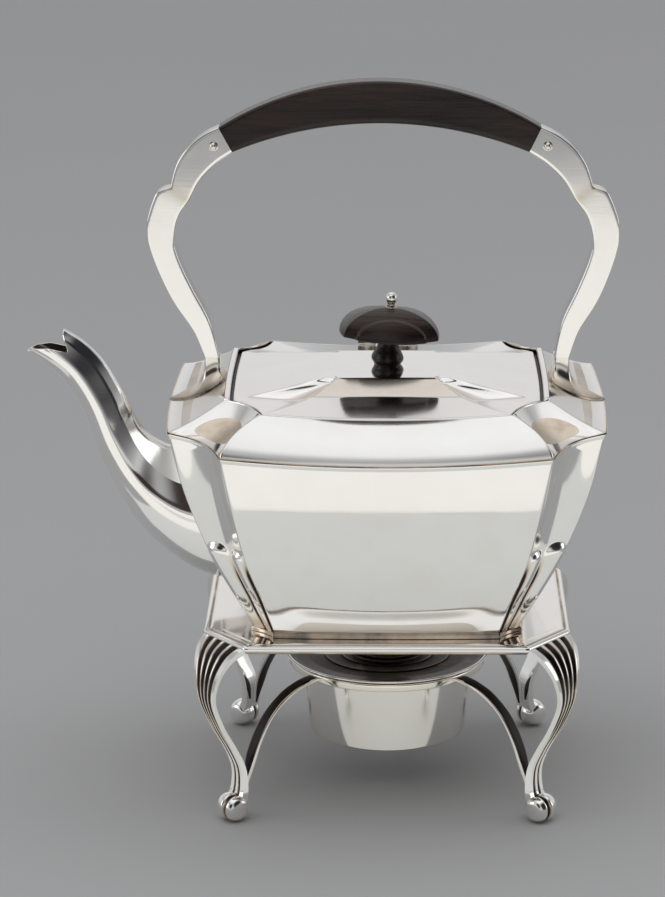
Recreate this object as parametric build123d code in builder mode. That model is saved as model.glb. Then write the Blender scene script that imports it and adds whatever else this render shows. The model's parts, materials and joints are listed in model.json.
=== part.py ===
from build123d import *
import os
from math import hypot

# Silver spirit kettle on a four-legged stand with a spirit burner under it.
# Millimetres, +Z up. The origin is on the floor, midway between the four feet, on the upright
# axis that kettle, tray and burner share. The spout points along -X and the front faces -Y.

os.makedirs("parts", exist_ok=True)

# ---- driving dimensions ------------------------------------------------------------------
wall = 1.2                      # thickness of the silver sheet
fit_gap = 0.4                   # clearance between pieces that lift or swing apart

tray_top = 77.8
tray_thickness = 3.4
tray_half_x = 76.0
tray_half_y = 65.0
tray_cut_x = 18.0               # how much the tray's cut corners take off each side
tray_cut_y = 23.5
tray_hole_radius = 46.0         # the burner drops in through this hole

foot_x = 63.5                   # centre of each scroll foot
foot_y = 58.0
foot_radius = 5.0
foot_width = 8.0
foot_flat = 0.2                 # how much of the scroll is filed flat to stand on

ring_bottom = 50.0
ring_top = 53.4
ring_inner_radius = 37.0
ring_outer_radius = 41.5
flange_radius = 43.4
flange_rim_top = 55.4
cup_bottom = 20.3
cup_bottom_radius = 32.9
cup_top_radius = 36.4

body_bottom = 80.0
crease_height = 165.6           # where the body's walls meet the shoulder
opening_height = 175.6          # top of the shoulder, at the lid opening
crown_height = 180.4            # flat top of the lid's raised centre

hinge_y = 65.0
hinge_z = 178.8
hinge_length = 26.0
barrel_radius = 2.2
pin_radius = 0.9
pin_running_gap = 0.05

handle_lean = -2.9              # the bow handle leans this far towards the spout at its top
handle_lean_from = 180.0
handle_lean_to = 281.0
arm_half_depth = 4.5
grip_half_depth = 6.0

slant_share = 0.41               # how far a slanted corner point moves for each mm of shrinking

corners = {
    "front_left": (-1, -1),
    "front_right": (1, -1),
    "rear_left": (-1, 1),
    "rear_right": (1, 1),
}

# Levels of the body: height, then the ends' corner points and the faces' corner points.
body_levels = (
    (80.0, 54.5, 43.0, 46.0, 52.5),
    (95.0, 62.8, 47.0, 50.0, 58.5),
    (115.0, 72.7, 51.5, 56.3, 66.0),
    (140.0, 82.0, 55.0, 61.5, 72.8),
    (crease_height, 88.2, 57.0, 66.0, 77.0),
)
opening = (66.0, 42.4, 50.5, 62.2)
shoulder_levels = (
    body_levels[-1],
    (168.4, 79.5, 51.3, 63.4, 76.0),
    (172.3, 71.0, 46.0, 57.6, 71.9),
    (opening_height, *opening),
)


def finish(part, name):
    """Labels a finished piece and writes it out."""
    part.label = name
    export_step(part, f"parts/{name}.step")


def scooped_outline(end_x, end_y, face_x, face_y, bow=1.5, scoop=4.0):
    """Four bowed sides joined by four corners that are scooped inwards."""
    run = hypot(end_x - face_x, face_y - end_y)
    scoop_x = (end_x + face_x) / 2 - scoop * (face_y - end_y) / run
    scoop_y = (end_y + face_y) / 2 - scoop * (end_x - face_x) / run
    ends = (
        (-face_x, -face_y),
        (face_x, -face_y),
        (end_x, -end_y),
        (end_x, end_y),
        (face_x, face_y),
        (-face_x, face_y),
        (-end_x, end_y),
        (-end_x, -end_y),
    )
    middles = (
        (0, -face_y - bow),
        (scoop_x, -scoop_y),
        (end_x + bow, 0),
        (scoop_x, scoop_y),
        (0, face_y + bow),
        (-scoop_x, scoop_y),
        (-end_x - bow, 0),
        (-scoop_x, -scoop_y),
    )
    with BuildSketch() as outline:
        with BuildLine():
            for index, middle in enumerate(middles):
                ThreePointArc(ends[index], middle, ends[(index + 1) % len(ends)])
        make_face()
    return outline.sketch


def shrunk(outline, amount):
    """Corner points of an outline drawn in by amount on every side."""
    end_x, end_y, face_x, face_y = outline
    slant = slant_share * amount
    return end_x - amount, end_y - slant, face_x - slant, face_y - amount


def stacked(levels, shrink=0.0, drop=0.0):
    """Solid through a stack of scooped outlines, drawn in by shrink and lowered by drop."""
    with BuildPart() as stack:
        for height, *outline in levels:
            with BuildSketch(Plane.XY.offset(height - drop)):
                add(scooped_outline(*shrunk(outline, shrink)))
        loft()
    return stack.part


def prism(outline, low, high):
    """Upright solid of one scooped outline."""
    with BuildPart() as column:
        with BuildSketch(Plane.XY.offset(low)):
            add(scooped_outline(*outline))
        extrude(amount=high - low)
    return column.part


def turned(points, turned_name):
    """Solid of revolution about the upright axis, from its half profile."""
    with BuildPart() as lathe:
        with BuildSketch(Plane.XZ):
            with BuildLine():
                Polyline(*points, close=True)
            make_face()
        revolve(axis=Axis.Z)
    finish(lathe.part, turned_name)
    return lathe.part


# ---- stand -------------------------------------------------------------------------------
tray_bottom = tray_top - tray_thickness
tray_edge_round = 1.4
tray_corners = (
    (tray_half_x, -tray_half_y + tray_cut_y),
    (tray_half_x, tray_half_y - tray_cut_y),
    (tray_half_x - tray_cut_x, tray_half_y),
    (-tray_half_x + tray_cut_x, tray_half_y),
    (-tray_half_x, tray_half_y - tray_cut_y),
    (-tray_half_x, -tray_half_y + tray_cut_y),
    (-tray_half_x + tray_cut_x, -tray_half_y),
    (tray_half_x - tray_cut_x, -tray_half_y),
)
with BuildPart() as tray_plate:
    with BuildSketch(Plane.XY.offset(tray_bottom)):
        with BuildLine():
            Polyline(*tray_corners, close=True)
        make_face()
    extrude(amount=tray_thickness)
    fillet(tray_plate.edges().filter_by(Plane.XY), tray_edge_round)
    with BuildSketch(Plane.XY.offset(tray_bottom)):
        Circle(tray_hole_radius)
    extrude(amount=tray_thickness, mode=Mode.SUBTRACT)
finish(tray_plate.part, "tray_plate")

# The legs fan out under the tray's cut corners. Each station is the height, the centre in plan,
# and the leg's width along the cut corner and its thickness across it.
corner_run = hypot(tray_cut_x, tray_cut_y)
along_x = -tray_cut_x / corner_run
along_y = tray_cut_y / corner_run
leg_stations = (
    (tray_bottom, 64.3, 51.2, 24.0, 5.0),
    (70.0, 69.6, 55.8, 22.0, 4.6),
    (63.0, 73.0, 59.3, 17.0, 4.2),
    (53.0, 73.2, 60.2, 12.0, 4.0),
    (41.0, 69.0, 58.0, 9.0, 4.0),
    (31.0, 63.8, 54.8, 8.0, 4.0),
    (22.0, 60.0, 53.0, 7.5, 4.4),
    (13.0, 59.6, 54.0, 7.5, 4.8),
    (7.0, 61.2, 55.8, 7.5, 5.0),
)


along = (along_x, along_y, 0)
across = (along_y, -along_x, 0)
with BuildPart() as rear_right_leg:
    for index, (height, x, y, width, thickness) in enumerate(leg_stations):
        above = leg_stations[max(index - 1, 0)]
        below = leg_stations[min(index + 1, len(leg_stations) - 1)]
        heading = (below[1] - above[1], below[2] - above[2], below[0] - above[0])
        if index == 0:
            heading = (0, 0, -1)
        with BuildSketch(Plane((x, y, height), along, heading)):
            Ellipse(width / 2, thickness / 2)
    loft()
    with BuildSketch(Plane((foot_x, foot_y, foot_radius - foot_flat), across, along)):
        Circle(foot_radius)
    extrude(amount=foot_width / 2, both=True)
    split(bisect_by=Plane.XY, keep=Keep.TOP)


def at_corner(master, side_x, side_y):
    """A piece made for the rear right corner, mirrored to the corner of the two signs."""
    placed = master
    if side_x < 0:
        placed = mirror(placed, about=Plane.YZ, mode=Mode.PRIVATE)
    if side_y < 0:
        placed = mirror(placed, about=Plane.XZ, mode=Mode.PRIVATE)
    with BuildPart() as piece:
        add(placed)
    return piece.part


for corner, (side_x, side_y) in corners.items():
    finish(at_corner(rear_right_leg.part, side_x, side_y), f"leg_{corner}")

with BuildPart() as burner_ring:
    with BuildSketch(Plane.XY.offset(ring_bottom)):
        Circle(ring_outer_radius)
        Circle(ring_inner_radius, mode=Mode.SUBTRACT)
    extrude(amount=ring_top - ring_bottom)
finish(burner_ring.part, "burner_ring")

# Each strut is a flat ribbon that rises from a leg's ankle and arches over to the ring.
strut_width = 5.0
strut_thickness = 1.8
strut_end_height = 51.6
strut_start = (78.5, 19.0)
strut_middle = (68.5, 41.0)
strut_end = (ring_inner_radius + 1, strut_end_height)
ankle_x = 60.0
ankle_y = 53.0
outward = Vector(ankle_x, ankle_y, 0).normalized()
sideways = Vector(0, 0, 1).cross(outward)
with BuildPart() as rear_right_strut:
    with BuildLine(Plane((0, 0, 0), outward, sideways * -1)) as route:
        ThreePointArc(strut_start, strut_middle, strut_end)
    with BuildSketch(Plane(route.line @ 0, sideways, route.line % 0)):
        Rectangle(strut_width, strut_thickness)
    sweep()
    add(rear_right_leg.part, mode=Mode.SUBTRACT)
    with BuildSketch():
        Circle(ring_outer_radius)
    extrude(amount=tray_bottom, mode=Mode.SUBTRACT)
strut_master = rear_right_strut.part.solids().sort_by(SortBy.VOLUME)[-1]
for corner, (side_x, side_y) in corners.items():
    finish(at_corner(strut_master, side_x, side_y), f"strut_{corner}")

# ---- burner ------------------------------------------------------------------------------
dish_floor = ring_top
turned(
    (
        (0, cup_bottom),
        (cup_bottom_radius - 2, cup_bottom),
        (cup_bottom_radius, cup_bottom + 1.5),
        (cup_top_radius, dish_floor),
        (cup_top_radius - wall, dish_floor),
        (cup_bottom_radius - wall, cup_bottom + 2.5),
        (0, cup_bottom + wall),
    ),
    "burner_cup",
)
collar_radius = 7.0
collar_gap = 0.05
boss_radius = 15.0
turned(
    (
        (collar_radius + collar_gap, dish_floor),
        (flange_radius - 2.4, dish_floor),
        (flange_radius, flange_rim_top - 1.0),
        (flange_radius, flange_rim_top),
        (flange_radius - 1.0, flange_rim_top),
        (flange_radius - 3.2, dish_floor + wall),
        (boss_radius + 1.0, dish_floor + wall),
        (boss_radius, dish_floor + 2 * wall),
        (collar_radius + collar_gap, dish_floor + 2 * wall),
    ),
    "burner_flange",
)
wick_radius = 3.0
tube_radius = 3.8
tube_top = 62.5
collar_top = dish_floor + 3.2
turned(
    (
        (tube_radius, dish_floor - 6),
        (collar_radius, dish_floor - 6),
        (collar_radius, dish_floor + 2 * wall),
        (collar_radius + 2.4, dish_floor + 2 * wall),
        (collar_radius + 2.4, collar_top),
        (tube_radius, collar_top),
    ),
    "wick_collar",
)
turned(
    (
        (wick_radius, dish_floor - 10),
        (tube_radius, dish_floor - 10),
        (tube_radius, tube_top),
        (wick_radius, tube_top),
    ),
    "wick_tube",
)
turned(
    (
        (0, cup_bottom + 6),
        (wick_radius, cup_bottom + 6),
        (wick_radius, tube_top + 1.2),
        (0, tube_top + 1.2),
    ),
    "wick",
)
cap_bottom = collar_top
cap_bore = tube_radius + fit_gap
cap_radius = 10.7
cap_top = 67.0
turned(
    (
        (cap_bore, cap_bottom),
        (cap_radius, cap_bottom),
        (cap_radius, cap_bottom + 2.4),
        (8.0, cap_bottom + 3.4),
        (7.0, cap_top - 1.5),
        (5.0, cap_top),
        (0, cap_top),
        (0, cap_top - wall),
        (4.6, cap_top - wall),
        (5.8, cap_top - 2.4),
        (6.4, cap_bottom + 2.4),
        (cap_bore, cap_bottom + 1.6),
    ),
    "snuffer_cap",
)

# ---- kettle body -------------------------------------------------------------------------
body_solid = stacked(body_levels)
body_hollow = stacked(body_levels, shrink=wall)

strainer_centre_z = 118.0
strainer_start_x = -60.0         # inside the body, from where the holes run out through its end
strainer_hole = 2.4
strainer_pitch = 8.0
with BuildPart() as kettle_body:
    add(body_solid)
    add(body_hollow, mode=Mode.SUBTRACT)
    with BuildSketch(Plane((strainer_start_x, 0, strainer_centre_z), (0, 1, 0), (-1, 0, 0))):
        with PolarLocations(strainer_pitch, 6):
            Circle(strainer_hole)
        Circle(strainer_hole)
    extrude(amount=30, mode=Mode.SUBTRACT)
finish(kettle_body.part, "kettle_body")

base_outline = (55.6, 43.6, 46.6, 53.6)
base_wall = 4.0
with BuildPart() as kettle_base:
    add(prism(base_outline, tray_top, body_bottom))
    recess_outline = shrunk(base_outline, base_wall)
    add(prism(recess_outline, tray_top, body_bottom - wall), mode=Mode.SUBTRACT)
finish(kettle_base.part, "kettle_base")

shoulder_solid = stacked(shoulder_levels)
with BuildPart() as kettle_shoulder:
    add(shoulder_solid)
    add(stacked(shoulder_levels, shrink=wall, drop=wall), mode=Mode.SUBTRACT)
    add(prism(opening, crease_height - 2, opening_height + 2), mode=Mode.SUBTRACT)
finish(kettle_shoulder.part, "kettle_shoulder")

# The rim is a bar round the opening with a ledge inside it that the lid rests on.
rim_width = 2.2
ledge_width = 2.0
ledge_top = 174.8
rim_bottom = 173.6
rim_top = 176.4
with BuildPart() as opening_rim:
    add(prism(opening, rim_bottom, rim_top))
    add(prism(shrunk(opening, rim_width), ledge_top, rim_top + 1), mode=Mode.SUBTRACT)
    add(prism(shrunk(opening, rim_width + ledge_width), rim_bottom - 1, rim_top + 1), mode=Mode.SUBTRACT)
finish(opening_rim.part, "opening_rim")

# The spout rises from the left end in an S. Each station is the upper and the lower point of
# the section in the plane y = 0, and its width across.
spout_stations = (
    ((-76.0, 145.0), (-50.0, 84.0), 46.0),
    ((-88.5, 144.8), (-78.0, 90.0), 40.0),
    ((-96.5, 148.0), (-98.5, 104.5), 33.0),
    ((-102.5, 153.5), (-110.6, 120.5), 25.0),
    ((-107.0, 161.5), (-119.8, 139.0), 19.0),
    ((-112.0, 171.5), (-126.6, 159.0), 16.0),
    ((-118.5, 182.2), (-135.0, 173.8), 15.0),
    ((-126.5, 190.4), (-143.5, 181.5), 13.0),
    ((-133.4, 195.2), (-150.3, 185.8), 9.0),
)


def faceted(half_width, half_span):
    """Corner points of the spout's eight-sided section."""
    flat = 0.3 * half_width
    shoulder = 0.5 * half_span
    right = (
        (flat, -half_span),
        (half_width, -shoulder),
        (half_width, shoulder),
        (flat, half_span),
    )
    return (*right, *((-x, y) for x, y in reversed(right)))


def spout_solid(shrink):
    """Loft through the spout's stations, drawn in by shrink."""
    with BuildPart() as tube:
        for (upper_x, upper_z), (lower_x, lower_z), width in spout_stations:
            span = hypot(upper_x - lower_x, upper_z - lower_z)
            middle = ((upper_x + lower_x) / 2, 0, (upper_z + lower_z) / 2)
            up = Vector((upper_x - lower_x) / span, 0, (upper_z - lower_z) / span)
            forward = up.cross(Vector(0, 1, 0)) * -1
            with BuildSketch(Plane(middle, (0, 1, 0), forward)):
                with BuildLine():
                    Polyline(*faceted(width / 2 - shrink, span / 2 - shrink), close=True)
                make_face()
        loft()
    return tube.part


with BuildPart() as spout:
    add(spout_solid(0))
    add(spout_solid(wall), mode=Mode.SUBTRACT)
    add(body_solid, mode=Mode.SUBTRACT)
finish(spout.part.solids().sort_by(SortBy.VOLUME)[-1], "spout")

# ---- bow handle --------------------------------------------------------------------------


def leaned(x, z):
    """A point of the handle, moved by the handle's lean at its height."""
    share = (z - handle_lean_from) / (handle_lean_to - handle_lean_from)
    return x + handle_lean * max(share, 0.0), z


arm_bottom = 184.0
cusp = (86.9, 256.0)
arm_outer_top = ((65.7, 281.1), (77.0, 274.4), (84.4, 265.3), cusp)
arm_outer_low = (
    cusp,
    (93.4, 252.0),
    (97.4, 239.5),
    (95.6, 227.0),
    (88.8, 209.6),
    (80.3, 195.8),
    (75.8, arm_bottom),
)
arm_inner = (
    (69.3, arm_bottom),
    (73.0, 199.5),
    (79.4, 213.1),
    (84.6, 225.7),
    (85.5, 237.5),
    (79.4, 250.2),
    (74.6, 258.7),
    (60.4, 270.6),
)
foot_half_depth = 7.0
foot_inner_x = 68.6
foot_inner_top = 176.0
foot_arch = ((75.8, arm_bottom), (77.5, foot_inner_top), (86.5, crease_height - 0.6))
foot_inner_points = ((foot_inner_x, foot_arch[-1][1]), (foot_inner_x, foot_inner_top))


def arm_points(points, side):
    """Points of the right arm, leaned, and turned over for the left arm."""
    return [leaned(x * side, z) for x, z in points]


for name, side in (("left", -1), ("right", 1)):
    with BuildPart() as arm:
        with BuildSketch(Plane.XZ):
            with BuildLine():
                Spline(*arm_points(arm_outer_top, side))
                Spline(*arm_points(arm_outer_low, side))
                Polyline(*arm_points((arm_outer_low[-1], arm_inner[0]), side))
                Spline(*arm_points(arm_inner, side))
                Polyline(*arm_points((arm_inner[-1], arm_outer_top[0]), side))
            make_face()
        extrude(amount=arm_half_depth, both=True)
    finish(arm.part, f"handle_arm_{name}")

    with BuildPart() as handle_foot:
        with BuildSketch(Plane.XZ):
            with BuildLine():
                ThreePointArc(*arm_points(foot_arch, side))
                Polyline(*arm_points((foot_arch[-1], *foot_inner_points, arm_inner[0], foot_arch[0]), side))
            make_face()
        extrude(amount=foot_half_depth, both=True)
        add(shoulder_solid, mode=Mode.SUBTRACT)
    finish(handle_foot.part.solids().sort_by(SortBy.VOLUME)[-1], f"handle_foot_{name}")

grip_top_middle = (0, 300.0)
grip_bottom_middle = (0, 282.6)
grip_top_end = arm_outer_top[0]
grip_bottom_end = arm_inner[-1]
with BuildPart() as handle_grip:
    with BuildSketch(Plane.XZ):
        with BuildLine():
            right_top = leaned(*grip_top_end)
            left_top = leaned(-grip_top_end[0], grip_top_end[1])
            right_bottom = leaned(*grip_bottom_end)
            left_bottom = leaned(-grip_bottom_end[0], grip_bottom_end[1])
            ThreePointArc(left_top, leaned(*grip_top_middle), right_top)
            Line(right_top, right_bottom)
            ThreePointArc(right_bottom, leaned(*grip_bottom_middle), left_bottom)
            Line(left_bottom, left_top)
        make_face()
    extrude(amount=grip_half_depth, both=True)
finish(handle_grip.part, "handle_grip")

rivet_radius = 1.75
rivet_x = 68.3
rivet_z = 273.2
rivet_stand = 1.4
with BuildPart() as grip_rivets:
    for side in (-1, 1):
        place_x, place_z = leaned(rivet_x * side, rivet_z)
        for face in (-1, 1):
            seat = Plane((place_x, face * arm_half_depth, place_z), (1, 0, 0), (0, face, 0))
            with BuildSketch(seat):
                Circle(rivet_radius)
            extrude(amount=rivet_stand)
finish(grip_rivets.part, "grip_rivets")

# ---- lid ---------------------------------------------------------------------------------
lid_outline = shrunk(opening, rim_width + fit_gap)
lid_edge_top = ledge_top + wall
crown = (20.0, 13.0, 17.0, 16.0)
lid_levels = (
    (lid_edge_top, *shrunk(lid_outline, 12.0)),
    (crown_height - 1.2, 30.0, 19.0, 25.0, 24.0),
    (crown_height, *crown),
)
rod_radius = 1.4
with BuildPart() as lid_plate:
    add(prism(lid_outline, ledge_top, lid_edge_top))
    add(stacked(lid_levels))
    add(stacked(lid_levels, shrink=wall, drop=wall), mode=Mode.SUBTRACT)
    with BuildSketch(Plane.XY.offset(ledge_top - 1)):
        Circle(rod_radius)
    extrude(amount=crown_height - ledge_top + 2, mode=Mode.SUBTRACT)
finish(lid_plate.part, "lid_plate")

bezel_outline = shrunk(opening, rim_width + ledge_width + fit_gap)
bezel_depth = 5.0
with BuildPart() as lid_bezel:
    add(prism(bezel_outline, ledge_top - bezel_depth, ledge_top))
    add(prism(shrunk(bezel_outline, wall), ledge_top - bezel_depth, ledge_top), mode=Mode.SUBTRACT)
finish(lid_bezel.part, "lid_bezel")

neck_top = 191.0
neck_top_radius = 6.0
turned(
    (
        (rod_radius, crown_height),
        (7.5, crown_height),
        (7.2, crown_height + 1.2),
        (5.0, crown_height + 3.6),
        (4.6, crown_height + 6.0),
        (neck_top_radius, neck_top),
        (rod_radius, neck_top),
    ),
    "knob_neck",
)
knob_levels = ((neck_top, 20.3, 15.5), (194.5, 20.3, 15.5), (200.5, 16.0, 12.0), (204.6, 8.0, 6.0))
knob_corner_round = 3.0
knob_hollow = (30.0, 22.0)
knob_hollow_depth = 2.5
with BuildPart() as knob_cap:
    for height, half_x, half_y in knob_levels:
        with BuildSketch(Plane.XY.offset(height)):
            RectangleRounded(2 * half_x, 2 * half_y, knob_corner_round)
    loft(ruled=True)
    with BuildSketch(Plane.XY.offset(neck_top)):
        RectangleRounded(*knob_hollow, knob_corner_round)
        Circle(neck_top_radius, mode=Mode.SUBTRACT)
    extrude(amount=knob_hollow_depth, mode=Mode.SUBTRACT)
    with BuildSketch(Plane.XY.offset(neck_top)):
        Circle(rod_radius)
    extrude(amount=knob_levels[-1][0] - neck_top, mode=Mode.SUBTRACT)
finish(knob_cap.part, "knob_cap")

knob_top = knob_levels[-1][0]
ball_centre = 208.6
ball_radius = 2.5
turned(
    (
        (rod_radius, knob_top),
        (3.4, knob_top),
        (3.0, knob_top + 1.0),
        (1.6, knob_top + 1.6),
        (rod_radius, knob_top + 1.6),
    ),
    "knob_washer",
)
nut_top = crown_height - wall
nut_bottom = nut_top - 2.6
rod_bottom = nut_bottom - 0.8
rod_top = ball_centre - ball_radius * 0.8
with BuildPart() as knob_rod:
    with BuildSketch(Plane.XY.offset(rod_bottom)):
        Circle(rod_radius)
    extrude(amount=rod_top - rod_bottom)
finish(knob_rod.part, "knob_rod")

with BuildPart() as knob_ball:
    with BuildSketch(Plane.XZ):
        with BuildLine():
            ball_low = ball_centre - ball_radius
            CenterArc((0, ball_centre), ball_radius, -90, 180)
            Line((0, ball_centre + ball_radius), (0, ball_low))
        make_face()
    revolve(axis=Axis.Z)
    add(knob_rod.part, mode=Mode.SUBTRACT)
finish(knob_ball.part, "knob_finial")

nut_corner_radius = 3.6
with BuildPart() as knob_nut:
    with BuildSketch(Plane.XY.offset(nut_bottom)):
        RegularPolygon(nut_corner_radius, 6)
        Circle(rod_radius, mode=Mode.SUBTRACT)
    extrude(amount=nut_top - nut_bottom)
finish(knob_nut.part, "knob_nut")

# ---- hinge -------------------------------------------------------------------------------
middle_knuckle = 9.6
knuckle_gap = 0.2
leaf_thickness = 1.1
outer_knuckle = (hinge_length - middle_knuckle) / 2 - knuckle_gap
outer_start = middle_knuckle / 2 + knuckle_gap
with BuildPart() as hinge_knuckles_body:
    for side in (-1, 1):
        knuckle_plane = Plane((side * outer_start, hinge_y, hinge_z), (0, 1, 0), (side, 0, 0))
        with BuildSketch(knuckle_plane):
            Circle(barrel_radius)
            Circle(pin_radius, mode=Mode.SUBTRACT)
        extrude(amount=outer_knuckle)
        block_y = (opening[3] - 0.2, hinge_y - pin_radius - 0.5)
        centre_x = side * (outer_start + outer_knuckle / 2)
        centre_y = (block_y[0] + block_y[1]) / 2
        block_height = hinge_z - rim_top
        with BuildSketch(Plane((centre_x, centre_y, rim_top))):
            Rectangle(outer_knuckle, block_y[1] - block_y[0])
        extrude(amount=block_height)
    with BuildSketch(Plane.YZ.offset(-hinge_length / 2)):
        with Locations((hinge_y, hinge_z)):
            Circle(pin_radius)
    extrude(amount=hinge_length, mode=Mode.SUBTRACT)
    add(shoulder_solid, mode=Mode.SUBTRACT)
finish(hinge_knuckles_body.part, "hinge_knuckles_kettle")

leaf_reach = 12.0
with BuildPart() as hinge_knuckle_lid:
    with BuildSketch(Plane.YZ.offset(-middle_knuckle / 2)):
        with Locations((hinge_y, hinge_z)):
            Circle(barrel_radius)
        with BuildLine():
            Polyline(
                (hinge_y, hinge_z - 0.6),
                (hinge_y, hinge_z - barrel_radius + 0.3),
                (lid_outline[3] - 0.2, rim_top + 0.3),
                (lid_outline[3] - 0.2, lid_edge_top),
                (hinge_y - leaf_reach, lid_edge_top),
                (hinge_y - leaf_reach, lid_edge_top + leaf_thickness),
                close=True,
            )
        make_face()
        with Locations((hinge_y, hinge_z)):
            Circle(pin_radius + pin_running_gap, mode=Mode.SUBTRACT)
    extrude(amount=middle_knuckle)
finish(hinge_knuckle_lid.part, "hinge_knuckle_lid")

with BuildPart() as hinge_pin:
    with BuildSketch(Plane.YZ.offset(-hinge_length / 2)):
        with Locations((hinge_y, hinge_z)):
            Circle(pin_radius)
    extrude(amount=hinge_length)
finish(hinge_pin.part, "hinge_pin")
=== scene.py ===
import json
import math

import bmesh
import bpy
import numpy as np
from mathutils import Matrix, Vector


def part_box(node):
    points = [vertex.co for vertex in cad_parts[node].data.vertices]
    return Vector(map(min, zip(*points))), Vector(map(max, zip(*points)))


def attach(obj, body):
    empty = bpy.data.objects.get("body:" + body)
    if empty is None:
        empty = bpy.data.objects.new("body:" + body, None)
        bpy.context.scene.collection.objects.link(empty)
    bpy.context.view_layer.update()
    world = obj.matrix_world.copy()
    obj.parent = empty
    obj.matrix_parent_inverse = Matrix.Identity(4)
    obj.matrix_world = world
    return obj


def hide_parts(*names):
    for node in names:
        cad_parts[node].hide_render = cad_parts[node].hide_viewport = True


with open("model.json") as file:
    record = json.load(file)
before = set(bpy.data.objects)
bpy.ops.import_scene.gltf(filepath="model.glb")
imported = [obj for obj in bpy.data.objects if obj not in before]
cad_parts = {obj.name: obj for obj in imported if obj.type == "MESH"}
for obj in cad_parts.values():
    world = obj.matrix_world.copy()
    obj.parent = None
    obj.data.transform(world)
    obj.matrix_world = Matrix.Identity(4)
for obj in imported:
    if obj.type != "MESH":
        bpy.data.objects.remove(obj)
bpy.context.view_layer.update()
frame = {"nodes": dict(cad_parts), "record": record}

# A silver spirit kettle on its stand. Pieces are worked out in millimetres in the CAD's own frame
# (+Z up, spout towards -X, front towards -Y) and become metres when they are made.
MM = 0.001


# ---- camera, stage and lights ------------------------------------------------------------
def linked(name, data):
    """A new object in the scene, from a camera, a light or a mesh."""
    made = bpy.data.objects.new(name, data)
    bpy.context.scene.collection.objects.link(made)
    return made


def make_camera():
    """A long lens in front of the kettle that looks down on it."""
    camera = bpy.data.cameras.new("camera")
    camera.sensor_width = 36.0
    camera.lens = 140.5
    camera.clip_end = 30.0
    holder = linked("camera", camera)
    pitch, yaw, roll = (math.radians(angle) for angle in (74.38, 1.15, -0.25))
    turn = Matrix.Rotation(yaw, 4, "Z") @ Matrix.Rotation(pitch, 4, "X") @ Matrix.Rotation(roll, 4, "Z")
    holder.matrix_world = Matrix.Translation((0.0055, -1.415, 0.5394)) @ turn
    bpy.context.scene.camera = holder


make_camera()


def soft_box(name, place, target, size, brightness, colour=(1.0, 1.0, 1.0)):
    """A rectangular studio light at place that faces target. Only its light and reflection show."""
    light = bpy.data.lights.new(name, "AREA")
    light.shape = "RECTANGLE"
    light.size, light.size_y = size
    light.energy = brightness * math.pi * light.size * light.size_y
    light.color = colour
    lamp = linked(name, light)
    aim = Vector(target) - Vector(place)
    lamp.matrix_world = Matrix.Translation(place) @ aim.to_track_quat("-Z", "Y").to_matrix().to_4x4()
    lamp.visible_camera = False


# ---- node tools --------------------------------------------------------------------------
def empty_tree(owner, output):
    """The node tree of a material or of the world, with its output node and nothing else."""
    owner.use_nodes = True
    tree = owner.node_tree
    tree.nodes.clear()
    return tree, tree.nodes.new(output)


def feed(tree, value, socket):
    """Links an output to a socket, or sets the socket to a plain value."""
    if isinstance(value, bpy.types.NodeSocket):
        tree.links.new(value, socket)
    else:
        socket.default_value = value


def add(tree, kind, **inputs):
    """A node with some of its inputs fed. An underscore stands for a space in an input's name."""
    node = tree.nodes.new(kind)
    for name, value in inputs.items():
        feed(tree, value, node.inputs[name.replace("_", " ")])
    return node


def principled(name, **inputs):
    """A material of one principled shader, as the material, its node tree and the shader."""
    material = bpy.data.materials.new(name)
    tree, output = empty_tree(material, "ShaderNodeOutputMaterial")
    shader = add(tree, "ShaderNodeBsdfPrincipled", **inputs)
    tree.links.new(shader.outputs["BSDF"], output.inputs["Surface"])
    return material, tree, shader


def ramp_between(tree, source, low, high, low_colour, high_colour):
    """A two-colour ramp over part of a value's range."""
    node = add(tree, "ShaderNodeValToRGB", Fac=source)
    for element, place, colour in zip(node.color_ramp.elements, (low, high), (low_colour, high_colour)):
        element.position = place
        element.color = (*colour, 1)
    return node.outputs["Color"]


def mixed(tree, share, first, second, blend="MIX"):
    """Two colours mixed by a share."""
    node = tree.nodes.new("ShaderNodeMix")
    node.data_type = "RGBA"
    node.blend_type = blend
    for value, name in ((share, "Factor"), (first, "A"), (second, "B")):
        feed(tree, value, node.inputs[name])
    return node.outputs["Result"]


def number(tree, operation, *values):
    """A math node on numbers or outputs, kept between 0 and 1."""
    node = tree.nodes.new("ShaderNodeMath")
    node.operation = operation
    node.use_clamp = True
    for value, socket in zip(values, node.inputs):
        feed(tree, value, socket)
    return node.outputs[0]


def cloud(tree, scale, detail, roughness, stretch=(1, 1, 1)):
    """Noise in the object's own coordinates."""
    place = add(tree, "ShaderNodeTexCoord").outputs["Object"]
    place = add(tree, "ShaderNodeMapping", Vector=place, Scale=stretch).outputs["Vector"]
    noise = add(tree, "ShaderNodeTexNoise", Vector=place, Scale=scale, Detail=detail, Roughness=roughness)
    return noise.outputs["Fac"]


def bumped(tree, shader, height, strength, distance):
    """Adds a bump to a shader, on top of one that is there."""
    bump = add(tree, "ShaderNodeBump", Height=height, Strength=strength, Distance=distance)
    old = shader.inputs["Normal"].links
    if old:
        tree.links.new(old[0].from_socket, bump.inputs["Normal"])
    tree.links.new(bump.outputs["Normal"], shader.inputs["Normal"])


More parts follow.
